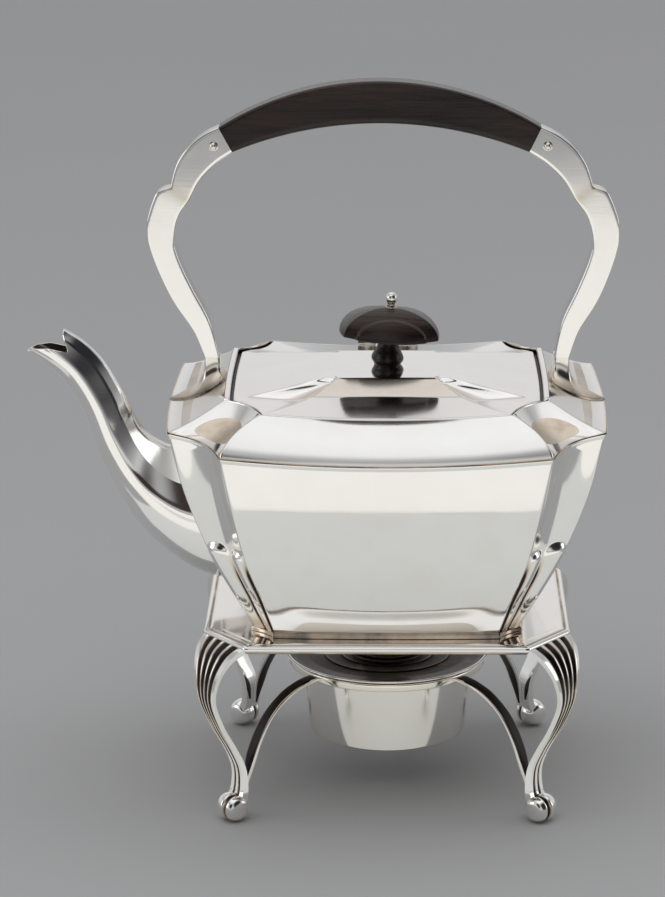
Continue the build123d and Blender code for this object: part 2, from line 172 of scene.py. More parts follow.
# ---- floor and room ----------------------------------------------------------------------
def make_floor():
    """A plain floor of pale paper, with painted light: its colour is painted lighter towards the rear."""
    half = 7.0
    corners = [(-half, -half, 0), (half, -half, 0), (half, half, 0), (-half, half, 0)]
    mesh = bpy.data.meshes.new("floor")
    mesh.from_pydata(corners, [], [(0, 1, 2, 3)])
    floor = linked("floor", mesh)
    material, tree, shader = principled("floor_paper", Roughness=0.9)
    place = add(tree, "ShaderNodeTexCoord").outputs["Object"]
    grain = add(tree, "ShaderNodeTexNoise", Vector=place, Scale=3.0, Detail=4.0)
    tone = ramp_between(tree, grain.outputs["Fac"], 0.0, 1.0, (0.94, 0.95, 0.97), (1.0, 1.0, 1.0))
    back = add(tree, "ShaderNodeSeparateXYZ", Vector=place).outputs["Y"]
    # painted light: the paper is painted darker at the front and lighter towards the rear
    painted_light_falloff = add(tree, "ShaderNodeMapRange", Value=back, From_Min=0.1, From_Max=3.2, To_Min=0.355,
                To_Max=0.455)
    shade = tree.nodes.new("ShaderNodeVectorMath")
    shade.operation = "SCALE"
    feed(tree, tone, shade.inputs["Vector"])
    feed(tree, painted_light_falloff.outputs["Result"], shade.inputs["Scale"])
    feed(tree, shade.outputs["Vector"], shader.inputs["Base Color"])
    mesh.materials.append(material)


def make_room():
    """A soft room, palest above, with two darker parts and a lighter one."""
    world = bpy.data.worlds.new("room")
    bpy.context.scene.world = world
    tree, output = empty_tree(world, "ShaderNodeOutputWorld")
    direction = add(tree, "ShaderNodeTexCoord").outputs["Generated"]
    upwards = add(tree, "ShaderNodeSeparateXYZ", Vector=direction).outputs["Z"]
    height = add(tree, "ShaderNodeValToRGB", Fac=upwards)
    stops = ((0.0, 0.42), (0.2, 0.64), (0.45, 0.56), (0.6, 0.38), (0.74, 0.5), (0.86, 0.86), (1.0, 0.92))
    ramp = height.color_ramp
    while len(ramp.elements) < len(stops):
        ramp.elements.new(0.5)
    for element, (position, value) in zip(ramp.elements, stops):
        element.position = position
        element.color = (value, value * 1.005, value * 1.02, 1)
    colour = height.outputs["Color"]
    # where each part lies, how near to it the tone starts and is full (1 is its middle), and the tone
    for towards, edge, core, tone in (
        ((0.62, -0.57, 0.48), 0.78, 0.93, (0.05, 0.05, 0.055)),
        ((-0.40, -0.81, 0.42), 0.935, 0.965, (0.07, 0.05, 0.045)),
        ((0.0, 0.8, 0.6), 0.85, 0.99, (1.35, 1.31, 1.3)),
    ):
        near = tree.nodes.new("ShaderNodeVectorMath")
        near.operation = "DOT_PRODUCT"
        feed(tree, direction, near.inputs[0])
        feed(tree, Vector(towards).normalized(), near.inputs[1])
        patch = ramp_between(tree, near.outputs["Value"], edge, core, (1.0, 1.0, 1.0), tone)
        colour = mixed(tree, 1.0, colour, patch, "MULTIPLY")
    background = add(tree, "ShaderNodeBackground", Color=colour, Strength=1.0)
    tree.links.new(background.outputs["Background"], output.inputs["Surface"])


make_floor()
make_room()
soft_box("left_light", (-1.5, -0.3, 0.6), (0, 0, 0.2), (0.8, 0.9), 0.9, (0.97, 0.985, 1.0))
soft_box("right_light", (1.7, 0.1, 0.6), (0, 0, 0.2), (0.7, 0.9), 0.8)
soft_box("front_sheet", (0.0, -0.712, 0.012), (0.0, -0.712, 1.0), (1.3, 1.0), 0.56, (1.0, 0.98, 0.885))
soft_box("near_sheet", (0.0, -0.122, 0.012), (0.0, -0.122, 1.0), (0.6, 0.176), 0.30, (0.985, 1.0, 0.945))
soft_box("fill_light", (0.1, -0.6, 1.8), (0.0, -0.1, 0.0), (3.2, 2.6), 0.85)
bpy.data.objects["fill_light"].visible_glossy = False      # it lights the floor and shows in no mirror
bpy.context.scene.view_settings.view_transform = "Standard"


# ---- materials ---------------------------------------------------------------------------
def make_silver():
    """Old polished silver: soft hand marks, fine scratches, and warm tarnished patches where it can't be
    rubbed, going to black where the stain is strongest. In the grooves of the reeds and legs that dark stain
    is partly painted shade.
    """
    material, tree, shader = principled("silver", Metallic=1.0)
    attribute = tree.nodes.new("ShaderNodeAttribute")
    attribute.attribute_name = "tarnish_and_shade"
    # how tarnished each point is, and in the grooves of the reeds and legs also painted shade
    tarnish_and_shade_amount = attribute.outputs["Fac"]
    blotches = cloud(tree, 55.0, 5.0, 0.6)
    clean = ramp_between(tree, blotches, 0.35, 0.7, (0.93, 0.915, 0.885), (0.955, 0.95, 0.935))
    patchy = number(tree, "MULTIPLY_ADD", blotches, 0.9, -0.1)
    share = number(tree, "MULTIPLY", tarnish_and_shade_amount, number(tree, "ADD", patchy, 0.35))
    gold = ramp_between(tree, share, 0.1, 0.5, (0.86, 0.74, 0.52), (0.52, 0.34, 0.17))
    black = ramp_between(tree, share, 0.45, 0.8, (0.30, 0.22, 0.14), (0.035, 0.03, 0.03))
    gold = mixed(tree, ramp_between(tree, share, 0.45, 0.6, (0, 0, 0), (1, 1, 1)), gold, black)
    feed(tree, mixed(tree, number(tree, "MULTIPLY", share, 1.35), clean, gold), shader.inputs["Base Color"])
    rough = number(tree, "MULTIPLY_ADD", cloud(tree, 24.0, 4.0, 0.6), 0.10, 0.045)
    feed(tree, number(tree, "MULTIPLY_ADD", tarnish_and_shade_amount, 0.16, rough), shader.inputs["Roughness"])
    bumped(tree, shader, cloud(tree, 38.0, 1.5, 0.4), 0.10, 0.0009)
    bumped(tree, shader, cloud(tree, 900.0, 2.0, 0.5, (0.08, 1.0, 1.0)), 0.035, 0.0001)
    return material


def make_ebony():
    """Dark wood with fine open grain along X, a brown cast and a soft oiled shine."""
    shine = {"Specular_IOR_Level": 0.22, "Coat_Weight": 0.35, "Coat_Roughness": 0.12}
    material, tree, shader = principled("ebony", **shine)
    streaks = cloud(tree, 260.0, 6.0, 0.65, (0.07, 1.0, 1.0))
    bands = cloud(tree, 60.0, 3.0, 0.5, (0.15, 1.0, 1.0))
    dark = ramp_between(tree, streaks, 0.38, 0.68, (0.003, 0.002, 0.002), (0.034, 0.019, 0.014))
    warm = ramp_between(tree, bands, 0.4, 0.75, (0.006, 0.004, 0.0035), (0.050, 0.028, 0.020))
    feed(tree, mixed(tree, number(tree, "MULTIPLY", bands, 0.7), dark, warm), shader.inputs["Base Color"])
    feed(tree, number(tree, "MULTIPLY_ADD", streaks, 0.36, 0.08), shader.inputs["Roughness"])
    bumped(tree, shader, streaks, 0.8, 0.0006)
    return material


def make_brass():
    """Dull turned brass with fine rings and brown spots."""
    material, tree, shader = principled("brass", Metallic=1.0)
    spots = cloud(tree, 300.0, 5.0, 0.65)
    colour = ramp_between(tree, spots, 0.35, 0.72, (0.66, 0.48, 0.24), (0.30, 0.19, 0.08))
    feed(tree, colour, shader.inputs["Base Color"])
    feed(tree, number(tree, "MULTIPLY_ADD", spots, 0.4, 0.2), shader.inputs["Roughness"])
    bumped(tree, shader, cloud(tree, 2600.0, 2.0, 0.5, (0.05, 0.05, 1.0)), 0.2, 0.0001)
    return material


def make_cotton():
    """Pale braided cotton."""
    material, tree, shader = principled("cotton", Roughness=0.95)
    place = add(tree, "ShaderNodeTexCoord").outputs["Object"]
    braid = add(tree, "ShaderNodeTexWave", Vector=place, Scale=500.0, Distortion=1.5)
    braid.bands_direction = "DIAGONAL"
    weave = braid.outputs["Fac"]
    colour = ramp_between(tree, weave, 0.2, 0.8, (0.30, 0.25, 0.18), (0.62, 0.56, 0.44))
    feed(tree, colour, shader.inputs["Base Color"])
    bumped(tree, shader, weave, 0.6, 0.0004)
    return material


materials = {
    "silver": make_silver(),
    "ebony": make_ebony(),
    "brass": make_brass(),
    "cotton": make_cotton(),
}
slot_of = {subpart["node"]: subpart["material_slot"] for subpart in frame["record"]["subparts"]}
groups = frame["record"]["behaviour"]["bodies"]
body_of = {node: body for body, nodes in groups.items() for node in nodes}
for node, slot in slot_of.items():
    cad_mesh = frame["nodes"][node].data
    cad_mesh.materials.clear()
    cad_mesh.materials.append(materials[slot])


# ---- mesh tools --------------------------------------------------------------------------
def piece(node, points, faces, tarnish_and_shade=None, crisp=45.0):
    """The mesh that stands for a CAD node and rides on its body, from points in millimetres.
    tarnish_and_shade is one value or one for each point: how tarnished it is, and in some grooves painted
    shade as well. Edges that turn by more than crisp degrees stay sharp."""
    slot = slot_of[node]
    name = f"{node}_{slot}"
    mesh = bpy.data.meshes.new(name)
    mesh.from_pydata((points * MM).tolist(), [], faces)
    if tarnish_and_shade is not None:
        values = np.empty(len(points), np.float32)
        values[:] = np.ravel(tarnish_and_shade)
        mesh.attributes.new("tarnish_and_shade", "FLOAT", "POINT").data.foreach_set("value", values)
    shape = bmesh.new()
    shape.from_mesh(mesh)
    bmesh.ops.remove_doubles(shape, verts=shape.verts, dist=1e-6)
    bmesh.ops.dissolve_degenerate(shape, edges=shape.edges, dist=1e-7)
    bmesh.ops.recalc_face_normals(shape, faces=shape.faces)
    shape.to_mesh(mesh)
    shape.free()
    mesh.shade_smooth()
    mesh.set_sharp_from_angle(angle=math.radians(crisp))
    made = linked(name, mesh)
    mesh.materials.append(materials[slot])
    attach(made, body_of[node])
    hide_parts(node)


def skin(rings, closed_path=False):
    """Points and faces of a closed form through rings of equally many points. A closed path joins the
    last ring to the first; otherwise each end is capped by a fan about its middle."""
    rings = np.asarray(rings, float)
    rows, columns = rings.shape[:2]
    points = rings.reshape(-1, 3)
    starts = [row * columns for row in range(rows)]
    faces = []
    for low, high in zip(starts, starts[1:] + ([0] if closed_path else [])):
        for column in range(columns):
            after = (column + 1) % columns
            faces.append((low + column, low + after, high + after, high + column))
    if closed_path:
        return points, faces
    middle = len(points)
    for column in range(columns):
        after = (column + 1) % columns
        faces.append((column, middle, after))
        faces.append((starts[-1] + column, starts[-1] + after, middle + 1))
    return np.concatenate((points, (rings[0].mean(0), rings[-1].mean(0)))), faces


def capped(stain, first=0.0, last=0.0):
    """Stain of a capped skin: that of its rings, then of the middles of its two ends."""
    return np.concatenate((np.ravel(stain), (first, last)))


def joined(forms):
    """Several forms, each as points and faces, in one."""
    all_points, all_faces = np.zeros((0, 3)), []
    for points, faces in forms:
        all_faces.extend(tuple(index + len(all_points) for index in face) for face in faces)
        all_points = np.concatenate((all_points, points))
    return all_points, all_faces


def through(points, count):
    """Smooth curve through points, as count points spread evenly between them."""
    points = np.asarray(points, float)
    ends = np.concatenate((2 * points[:1] - points[1:2], points, 2 * points[-1:] - points[-2:-1]))
    place = np.linspace(0, len(points) - 1, count)
    step = np.minimum(place.astype(int), len(points) - 2)
    t = (place - step)[:, None]
    a, b, c, d = (ends[step + k] for k in range(4))
    return 0.5 * (2 * b + (c - a) * t + (2 * a - 5 * b + 4 * c - d) * t**2 + (3 * b - a - 3 * c + d) * t**3)


def evenly(points, count):
    """The same curve with count points at equal distances along it."""
    steps = np.linalg.norm(np.diff(points, axis=0), axis=1)
    along = np.concatenate(([0], np.cumsum(steps)))
    places = np.linspace(0, along[-1], count)
    return np.column_stack([np.interp(places, along, points[:, k]) for k in range(points.shape[1])])


def ease(low, high, value):
    """0 below low, 1 above high, and smooth between them."""
    share = np.clip((value - low) / (high - low), 0, 1)
    return share * share * (3 - 2 * share)


def hump(value, centre, width):
    """1 where value is at centre, fading to 0 on both sides."""
    return np.exp(-(((value - centre) / width) ** 2))


def lerp(first, second, share):
    """A value that goes from first to second as share goes from 0 to 1."""
    return first + (second - first) * share


def lathe(profile, steps, wave=0.0, waves=0, closed=False):
    """Form of revolution about Z through (radius, height) points. A closed profile is a ring, and an
    open one starts and ends on the axis. A wave ripples the radius where a point has a third value of 1."""
    angles = np.linspace(0, 2 * math.pi, steps, endpoint=False)
    ripple = 1 + wave * np.abs(np.cos(angles * waves / 2))
    rings = []
    for radius, height, *rippled in profile:
        share = rippled[0] if rippled else 0.0
        radii = radius * (1 + share * (ripple - 1))
        across, along = radii * np.cos(angles), radii * np.sin(angles)
        rings.append(np.column_stack((across, along, np.full(steps, height))))
    return skin(rings, closed_path=closed)


def rounded(corners, radius=0.5, steps=4):
    """Profile points with the corners between straight runs rounded."""
    points = [corners[0]]
    for before, corner, after in zip(corners, corners[1:], corners[2:]):
        a, b, c = (np.array(p[:2], float) for p in (before, corner, after))
        cut = min(radius, 0.45 * np.linalg.norm(b - a), 0.45 * np.linalg.norm(c - b))
        start = b + (a - b) / np.linalg.norm(a - b) * cut
        end = b + (c - b) / np.linalg.norm(c - b) * cut
        for share in np.linspace(0, 1, steps):
            spot = (1 - share) ** 2 * start + 2 * share * (1 - share) * b + share**2 * end
            points.append((*spot, *corner[2:]))
    points.append(corners[-1])
    return points


# ---- kettle body -------------------------------------------------------------------------
# The body, the shoulder, the rim and the lid share one way of going round: a quarter runs from
# the middle of the right end over the cut corner to the middle of the rear face.
end_steps, cut_steps, face_steps = 14, 60, 24
end_t = np.sin(np.linspace(0, math.pi / 2, end_steps, endpoint=False))
cut_t = np.linspace(0, 1, cut_steps + 1)
face_t = 1 - np.cos(np.linspace(0, math.pi / 2, face_steps + 1))[1:]
zone = np.repeat(["end", "cut", "face"], [len(end_t), len(cut_t), len(face_t)])
spot = np.concatenate((end_t, cut_t, face_t))
on_end, on_cut, on_face = (zone == part for part in ("end", "cut", "face"))
end_middle = np.where(on_end, 1 - spot**2, 0.0)            # 1 at the middle of the end, 0 at its corner
face_middle = np.where(on_face, 1 - (1 - spot) ** 2, 0.0)  # 1 at the middle of the face, 0 at its corner
cut_share = np.where(on_cut, spot, np.where(on_face, 1.0, 0.0))

# height, then X and Y where the cut corner meets the end, and X and Y where it meets the face
body_levels = (
    (80.0, 54.5, 43.0, 46.0, 52.5),
    (95.0, 62.8, 47.0, 50.0, 58.5),
    (115.0, 72.7, 51.5, 56.3, 66.0),
    (140.0, 82.0, 55.0, 61.5, 72.8),
    (165.6, 88.2, 57.0, 66.0, 77.0),
)
opening = (66.0, 42.4, 50.5, 62.2)
body_low, crease_high = body_levels[0][0], body_levels[-1][0] + 0.2
face_drop = 5.4                 # the crease runs lower at the front and rear than at the ends
face_stretch = (crease_high - body_low) / (crease_high - face_drop - body_low)
wall = 1.2                      # thickness of the silver


def scooped(end_x, end_y, face_x, face_y, end_bow, face_bow, scoop, softness=1.3):
    """One quarter of an outline in plan whose cut corner is scooped inwards."""
    plan = np.zeros((len(spot), 2))
    plan[on_end, 0] = end_x + end_bow * end_middle[on_end]
    plan[on_end, 1] = end_y * spot[on_end]
    plan[on_face, 0] = face_x * (1 - spot[on_face])
    plan[on_face, 1] = face_y + face_bow * face_middle[on_face]
    run = math.hypot(end_x - face_x, face_y - end_y)
    out = np.array((face_y - end_y, end_x - face_x)) / run
    t = spot[on_cut][:, None]
    depth = scoop * (4 * t * (1 - t)) ** softness
    plan[on_cut] = (1 - t) * (end_x, end_y) + t * (face_x, face_y) - depth * out
    return plan


def all_round(quarter):
    """A full ring from one quarter of it."""
    turns = []
    for flip_x, flip_y, part in (
        (1, 1, quarter[:-1]),
        (-1, 1, quarter[:0:-1]),
        (-1, -1, quarter[:-1]),
        (1, -1, quarter[:0:-1]),
    ):
        turned = np.array(part, float)
        if turned.ndim > 1:
            turned[:, 0] *= flip_x
            turned[:, 1] *= flip_y
        turns.append(turned)
    return np.concatenate(turns)


def softened(ring, passes=2):
    """A closed ring with its sharpest corners eased."""
    for _ in range(passes):
        ring = (np.roll(ring, 1, 0) + 2 * ring + np.roll(ring, -1, 0)) / 4
    return ring


everywhere = np.ones(len(all_round(spot)))      # the same value at every point of a ring
fine_levels = through(body_levels, 200)


def body_plan(height, reeds=True):
    """A quarter of the body's outline at a height, which may differ from point to point."""
    height = np.broadcast_to(height, spot.shape)
    reach = body_low + (height - body_low) * face_stretch
    end_x, end_y = (np.interp(height, fine_levels[:, 0], fine_levels[:, k]) for k in (1, 2))
    face_x, face_y = (np.interp(reach, fine_levels[:, 0], fine_levels[:, k]) for k in (3, 4))
    rise = (height - body_low) / (crease_high - body_low)
    plan = np.zeros((len(spot), 2))
    end_bow, face_bow = 1.0 + 1.3 * rise, 1.2 + 1.3 * rise
    plan[:, 0] = np.where(on_end, end_x + end_bow * end_middle, face_x * (1 - spot))
    plan[:, 1] = np.where(on_end, end_y * spot, face_y + face_bow * face_middle)
    run = np.hypot(end_x - face_x, face_y - end_y)
    out_x, out_y = (face_y - end_y) / run, (end_x - face_x) / run
    hollow = -(1.4 + 3.8 * rise**1.3) * (4 * spot * (1 - spot)).clip(0) ** 1.3
    if reeds:
        for centre, half, top in ((0.245, 0.225, 114.5), (0.70, 0.195, 113.5)):
            radius = half * run
            over = np.maximum(0, (height - top) / radius)
            across = (spot - centre) / half
            head = (1 - over**2).clip(1e-6)
            tube = (1 - across**2 / head).clip(0)
            hollow = hollow + 0.66 * radius * head * tube**0.65
    cut_x = end_x + (face_x - end_x) * spot + hollow * out_x
    cut_y = end_y + (face_y - end_y) * spot + hollow * out_y
    plan[on_cut, 0], plan[on_cut, 1] = cut_x[on_cut], cut_y[on_cut]
    return plan


def crease_line():
    """Height of the crease between body and shoulder, which sags between the corners."""
    return crease_high - 1.0 * end_middle - face_drop * cut_share - 2.8 * face_middle


def level(plan, height):
    """A full ring from a quarter in plan and its height, which may differ from point to point."""
    return all_round(np.column_stack((plan, np.broadcast_to(height, len(plan)))))


def make_body():
    """The tapered body: a cove above the base, reeded corners, and a thin lip at the crease."""
    low_crease = np.where(on_end, 95.0 - 2.5 * end_middle, np.where(on_face, 96.7 - 5.0 * face_middle, 0.0))
    low_crease = np.where(on_cut, 95.0 + 1.7 * spot, low_crease)
    keep_out = np.where(on_end, ease(0, 0.12, 1 - spot), np.where(on_face, ease(0, 0.34, spot), 0.0))
    high = crease_line()
    rings, stains = [], []
    lower_rows, upper_rows = 14, 96
    for row in range(lower_rows + upper_rows + 1):
        tuck = np.zeros(len(spot))
        if row <= lower_rows:
            v = row / lower_rows
            height = body_low + (low_crease - body_low) * v
            tuck = 1.35 * math.sin(math.pi * v) * (1 - v) ** 0.6 * keep_out
        else:
            height = low_crease + (high - low_crease) * ((row - lower_rows) / upper_rows)
        if row > lower_rows + upper_rows - 2:
            tuck = tuck - 0.3           # the lip stands out a little
        plan = body_plan(height)
        length = np.hypot(plan[:, 0], plan[:, 1])
        plan[on_face, 1] -= tuck[on_face]
        plan[on_end, 0] -= tuck[on_end]
        plan[on_cut] *= (1 - tuck[on_cut] / length[on_cut])[:, None]
        rings.append(softened(level(plan, height)))
        foot = 1 - ease(81.0, 93.0, height)
        stain = np.where(on_cut, 0.7 * foot, 0.3 * (1 - ease(80.0, 83.0, height)))
        # the grooves beside the two reeds are stained dark brown to black: partly tarnished, partly painted
        # shade in place of their dark reflection
        for place in (0.02, 0.485, 0.91):           # the grooves beside the two reeds
            line = hump(spot, place, 0.05) * on_cut * (1 - ease(104.0, 117.0, height))
            stain = np.maximum(stain, 1.7 * line)
        stains.append(all_round(stain))
    for share in (1.0, 0.75, 0.5, 0.25, 0.08):
        height = body_low + wall + (high - 0.3 - body_low - wall) * share
        plan = body_plan(height, reeds=False)
        length = np.hypot(plan[:, 0], plan[:, 1])
        plan *= (1 - (wall + 0.3) / length)[:, None]
        rings.append(softened(level(plan, height)))
        stains.append(0.25 * everywhere)
    rings.append(rings[-1] * (0.97, 0.97, 0) + (0, 0, body_low + wall))
    stains.append(0.4 * everywhere)
    points, faces = skin(rings)
    piece("kettle_body", points, faces, capped(stains, 0.5, 0.4))


make_body()


def make_base():
    """The low foot under the body, which stands on the tray."""
    low, high = (corner.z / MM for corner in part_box("kettle_base"))
    edge = ((-4, low), (0.2, low), (0.55, low + 0.3), (0.55, high - 0.7), (-0.2, high), (-6, high))
    rings = []
    for grow, height in edge:
        plan = scooped(55.4 + grow, 43.4 + 0.4 * grow, 46.4 + 0.4 * grow, 53.4 + grow, 1.2, 1.2, 1.6)
        rings.append(softened(level(plan, height)))
    piece("kettle_base", *skin(rings), 0.75)


make_base()


# ---- shoulder, rim and lid ---------------------------------------------------------------
def opening_line():
    """Height of the edge round the lid opening. It sags along the front and the rear."""
    corner = np.where(on_end, 176.0, 174.9)
    corner = np.where(on_cut, 176.0 - 1.1 * spot, corner)
    return corner - 2.3 * face_middle


def opening_plan(end_x, end_y, face_x, face_y):
    """One quarter of an outline of the opening's kind in plan."""
    return scooped(end_x, end_y, face_x, face_y, 0.6, 0.0, 2.6)


def bulge_profile(share):
    """The bulge from the crease (0) to the opening (1), as shares of its width and of its height."""
    travel = np.linspace(0, 1, 400)
    slope = np.radians(30 + 42 * (1 - travel) ** 1.3 + 18 * np.exp(-travel / 0.05))
    width, height = np.cumsum(np.cos(slope)), np.cumsum(np.sin(slope))
    first, last = (np.array((width[end], height[end])) for end in (0, -1))
    place = np.array((np.interp(share, travel, width), np.interp(share, travel, height)))
    return (place - first) / (last - first)


cove_power = 1.45               # how hollow the coved ends of the shoulder are


def make_shoulder():
    """Convex front and rear, coved ends, and a dish at each cut corner behind a double ridge."""
    outer = scooped(*body_levels[-1][1:], 2.3, 2.5, 5.2)
    inner = opening_plan(*opening)
    low, high = crease_line(), opening_line()
    gone_out = outer / np.hypot(outer[:, 0], outer[:, 1])[:, None]
    rings = [level(outer - gone_out * inset, low + lift) for inset, lift in ((1.1, -0.6), (1.0, 0.35))]
    stains = [0.8 * everywhere] * 2
    rows = 40
    start = low + 0.45
    for row in range(rows + 1):
        v = row / rows
        bulge_h, bulge_k = bulge_profile(v)
        bulge = np.column_stack((lerp(outer, inner, bulge_h), lerp(start, high, bulge_k)))
        coved = np.column_stack((lerp(outer, inner, v), lerp(start, high, v**cove_power)))
        sink = 3.0 * math.sin(math.pi * v) * np.sin(math.pi * spot.clip(0, 1)) ** 0.8
        dish = np.column_stack((lerp(outer, inner, v), lerp(start, high, v) - sink))
        to_dish = ease(0.0, 0.16, spot)[:, None]
        to_bulge = ease(0.86, 0.965, spot)[:, None]
        corner = lerp(lerp(coved, dish, to_dish), bulge, to_bulge)
        ridge = 0.55 * hump(spot, 0.895, 0.022) + 0.45 * hump(spot, 0.98, 0.02)
        fade = math.sin(math.pi * min(1.0, 0.15 + 0.8 * v))
        corner[:, 2] += (ridge + 0.4 * hump(spot, 0, 0.025)) * fade
        ring = np.where(on_face[:, None], bulge, np.where(on_end[:, None], coved, corner))
        rings.append(softened(all_round(ring), 1))
        groove = hump(spot, 0.94, 0.03) * 0.8 * on_cut
        rough_patch = 0.5 * on_end * (1 - spot) * math.sin(math.pi * v)
        low_line = 0.7 * max(0.0, 1 - v / 0.05)
        stains.append(all_round(np.maximum(np.maximum(groove, rough_patch), low_line)))
    rings.append(level(inner, high - 2.2))
    rings.append(level(lerp(outer, inner, 0.1) * 0.985, low + 1.0))
    rings.append(level(outer - gone_out * 1.6, low - 0.6))
    stains.extend([0.6 * everywhere] * 3)
    piece("kettle_shoulder", *skin(rings, closed_path=True), stains)


make_shoulder()


def make_rim():
    """The edge round the opening: flat bars at the ends, thin elsewhere, and a ledge under the lid."""
    high = opening_line()
    bar = np.where(on_end, 1.0, np.where(on_cut, 1 - ease(0, 0.10, spot), 0.0))
    bar_width, edge_width, ledge_width = 2.3, 0.3, 5.2

    def inside(amount):
        return opening_plan(*(np.array(opening) - np.array((amount, 0.41 * amount, 0.41 * amount, amount))))

    outer = opening_plan(*opening)
    width = (edge_width + (bar_width - edge_width) * bar)[:, None]
    edge = lerp(inside(0), inside(1), width)
    ledge = inside(ledge_width)
    # plan, height and stain, from the outside over the top and down to the ledge
    stack = (
        (outer * 1.001, high - 2.4, 0.5),
        (outer * 1.001, high + 0.05 + 0.55 * bar, 0.1),
        (lerp(outer, edge, 0.12), high + 0.2 + 0.75 * bar, 0),
        (lerp(outer, edge, 0.88), high + 0.2 + 0.75 * bar, 0),
        (edge, high + 0.05 + 0.6 * bar, 0.6),
        (edge, high - 1.9, 1.8),
        (lerp(edge, ledge, 0.95), high - 1.9, 1.8),
        (lerp(edge, ledge, 1.0), high - 3.0, 1.8),
    )
    rings = [softened(level(plan, height), 1) for plan, height, _ in stack]
    # the stain is much weaker along the front and rear faces
    rubbed = 1 - 0.85 * on_face
    stains = [all_round(stain * rubbed) for *_, stain in stack]
    piece("opening_rim", *skin(rings, closed_path=True), stains)


make_rim()
crown_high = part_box("lid_plate")[1].z / MM
crown_half = 23.5
fold_y, fold_high = 37.5, 175.9
lid_edge = (62.6, 41.1, 49.6, 61.5)


def lid_height(x, y):
    """Height of the lid's top: a low pyramid with a flat crown and a flute down each diagonal."""
    x, y = np.abs(x), np.abs(y)
    edge = 172.8 + 2.3 * np.clip(x / 50.0, 0, 1) ** 2
    slope = np.interp(y, (0, crown_half, fold_y), (crown_high, crown_high, fold_high))
    apron = fold_high + (edge - fold_high) * np.clip((y - fold_y) / (lid_edge[3] - fold_y), 0, 1.1)
    front = np.where(y < fold_y, slope, apron)
    side = np.interp(x, (0, crown_half, lid_edge[0]), (crown_high, crown_high, 175.3))
    soft = 0.35
    near = np.clip(0.5 + 0.5 * (side - front) / soft, 0, 1)
    height = side * (1 - near) + front * near - soft * near * (1 - near) * 0.5
    flute_x, flute_y = 32.5, 27.5               # how far a flute runs from the crown's corner
    run = np.hypot(flute_x, flute_y)
    along = ((x - crown_half) * flute_x + (y - crown_half) * flute_y) / run
    across = ((y - crown_half) * flute_x - (x - crown_half) * flute_y) / run
    share = along / run
    half = 2.6 + 9.5 * np.clip(share, 0, 1) ** 0.85
    head = np.clip(-along / 3.0, 0, 2)
    inside = np.clip(1 - (np.abs(across) / half) ** np.where(across > 0, 3.0, 1.7) - head**2, 0, 1)
    depth = 2.3 * (1 - 0.8 * np.clip(share, 0, 1.1) ** 0.8)
    return height - depth * inside ** np.where(across > 0, 0.9, 1.3)


def lid_level(share, drop):
    """A ring of the lid: its edge shrunk to a share of itself, so far below the top."""
    plan = opening_plan(*lid_edge) * share
    return level(plan, lid_height(*plan.T) - drop)


def make_lid():
    """The lid plate: its fluted top, a thin turned edge and its underside."""
    rows, thick = 64, 1.2
    edge = ((0.90, thick), (0.96, thick), (0.996, 1.15), (1.0, 0.8), (1.0, 0.35), (0.996, 0.08))
    top = [(0.985 * (1 - row / rows) + 0.015 * 0.3, 0) for row in range(rows)]
    rings = [softened(lid_level(share, drop), 1) for share, drop in (*edge, *top)]
    rings.extend(lid_level(share, thick) for share in (0.03, 0.2, 0.35, 0.5, 0.65, 0.8))
    points, faces = skin(rings, closed_path=True)
    across, along = np.abs(points[:, 0]), np.abs(points[:, 1])
    slope = ease(crown_half - 1, crown_half + 1, along) * (1 - ease(fold_y - 2, fold_y + 1, along))
    slope = slope * (1 - ease(-1.0, 3.0, across - along))
    piece("lid_plate", points, faces, 0.35 * slope)


def make_bezel():
    """The upright band under the lid that keeps it in the opening."""
    band = ((0.925, 0.9), (0.925, 6.0), (0.905, 6.2), (0.905, 0.9))
    piece("lid_bezel", *skin([lid_level(*place) for place in band], closed_path=True), 0.35)


make_lid()
make_bezel()


def extruded(outline, low, high, bevel=0.3):
    """A bevelled plate from an outline in the YZ plane, between two values of X."""
    outline = np.array(outline)
    away = outline - outline.mean(0)
    away = away / np.linalg.norm(away, axis=1)[:, None]
    rings = []
    for x, inset in ((low, bevel), (low + bevel, 0), (high - bevel, 0), (high, bevel)):
        rings.append(np.column_stack((np.full(len(outline), x), outline - away * inset)))
    return skin(rings)


def make_hinge():
    """Three knuckles: two stand on the kettle's sagging rear edge, the middle one is the lid's."""
    axis_y, axis_z, barrel, gap = 65.0, 178.8, 2.2, 0.25
    lid_low, lid_high = (corner.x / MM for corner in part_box("hinge_knuckle_lid"))
    low, high = (corner.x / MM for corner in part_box("hinge_knuckles_kettle"))

    def round_part(first, last):
        angles = np.radians(np.linspace(first, last, 24))
        return [(axis_y + barrel * math.cos(a), axis_z + barrel * math.sin(a)) for a in angles]

    standing = round_part(-20, 200) + [(63.1, 176.5), (63.0, 171.2), (66.6, 169.6), (66.9, 176.5)]
    spans = ((low, lid_low - gap), (lid_high + gap, high))
    points, faces = joined(extruded(standing, *span) for span in spans)
    piece("hinge_knuckles_kettle", points, faces, 0.4)
    leaf = [(60.6, 175.6), (57.6, 174.6), (57.6, 173.2), (61.2, 173.0), (62.6, 175.6)]
    reaching = round_part(-100, 165) + leaf
    piece("hinge_knuckle_lid", *extruded(reaching, lid_low, lid_high), 0.4)


make_hinge()


